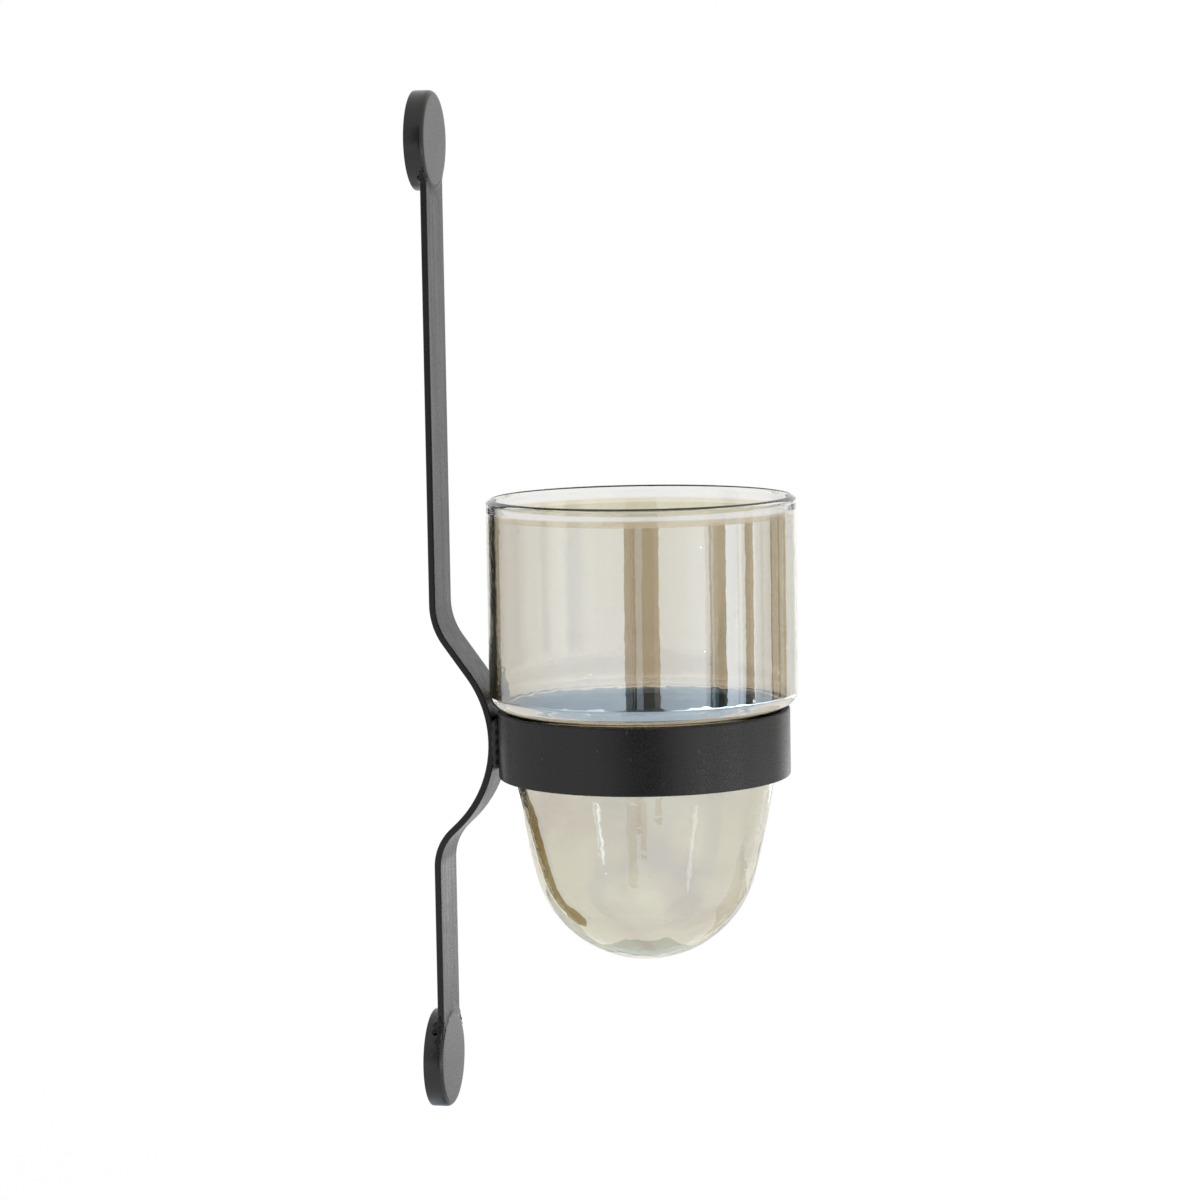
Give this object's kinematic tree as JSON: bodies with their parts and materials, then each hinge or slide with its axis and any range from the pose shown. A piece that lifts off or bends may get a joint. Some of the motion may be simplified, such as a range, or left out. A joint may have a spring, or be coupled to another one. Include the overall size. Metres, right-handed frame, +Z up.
{
  "type": "wall tealight holder",
  "caption": "Wall candle holder: a bowed flat bar between two round wall caps carries a ring, in which a tinted glass cup with a domed base stands on its shoulder.",
  "frame": {"origin": "centre of the upper keyhole's round entry, in the plane of the wall", "axes": "+Z up, +Y into the wall, so the front faces -Y; +X to the right for someone facing the wall"},
  "size_m": [0.093, 0.1137, 0.31],
  "materials": {
    "bar_coat": "matt black powder coat",
    "cap_coat": "matt black powder coat",
    "plate_coat": "matt black powder coat",
    "ring_coat": "matt black powder coat",
    "weld_coat": "matt black powder coat over a weld",
    "tinted_glass": "clear glass with a smoky amber lustre"
  },
  "bodies": {
    "bracket": {"upright_bar": "bar_coat", "top_cap": "cap_coat", "top_keyhole_plate": "plate_coat", "top_cap_weld": "weld_coat", "bottom_cap": "cap_coat", "bottom_keyhole_plate": "plate_coat", "bottom_cap_weld": "weld_coat", "ring_band": "ring_coat", "ring_seam_weld": "weld_coat", "ring_weld_left": "weld_coat", "ring_weld_right": "weld_coat"},
    "glass": {"glass_cup": "tinted_glass"}
  },
  "joints": [
    {"name": "glass_lift", "type": "slide", "parent": "bracket", "child": "glass", "axis": [0, 0, 1], "range_m": [0, 0.09]}
  ]
}
